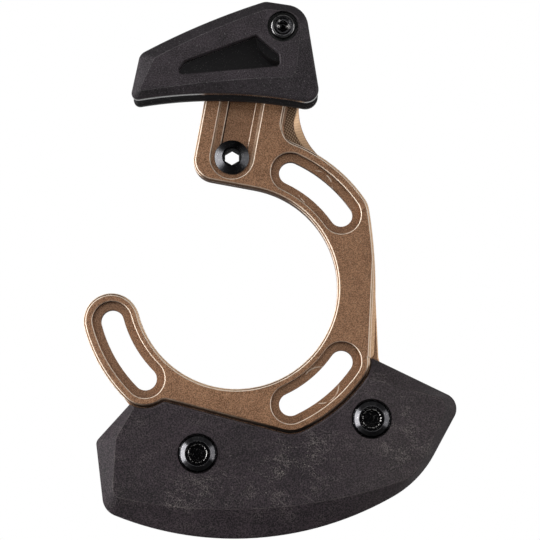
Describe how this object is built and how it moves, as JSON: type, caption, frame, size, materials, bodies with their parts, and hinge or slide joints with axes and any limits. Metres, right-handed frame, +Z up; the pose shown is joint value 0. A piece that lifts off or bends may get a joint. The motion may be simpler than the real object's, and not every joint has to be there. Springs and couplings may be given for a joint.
{
  "type": "bicycle chain guide",
  "caption": "Bicycle chain guide: C-shaped slotted backplate with a height-adjustable upper chain guide and a bevelled bash guard below the ring.",
  "frame": {"origin": "bottom bracket axis, on the rear mounting face of the backplate", "axes": "+X forward on the bicycle, +Z up, +Y inboard towards the frame; the chain side faces -Y"},
  "size_m": [0.1058, 0.0239, 0.1503],
  "materials": {
    "bronze_anodised": "fine bead-blasted bronze anodising, bare bright scratches round the slots",
    "black_nylon": "fine-grained moulded nylon",
    "black_polymer": "matt moulded polymer with grey scuffs",
    "black_steel": "satin black oxide"
  },
  "bodies": {
    "mounted_plate": {"backplate": "bronze_anodised", "bash_guard": "black_polymer", "bash_bolt_rear": "black_steel", "bash_bolt_front": "black_steel"},
    "upper_guide": {"guide_carrier": "bronze_anodised", "height_bolt": "black_steel", "inner_guide_plate": "black_nylon", "outer_guide_plate": "black_nylon", "guide_screw": "black_steel", "carrier_screw_rear": "black_steel", "carrier_screw_front": "black_steel"}
  },
  "joints": [
    {"name": "guide_height_slide", "type": "slide", "parent": "mounted_plate", "child": "upper_guide", "axis": [0.1822, 0, 0.9833], "range_m": [0, 0.017]}
  ]
}
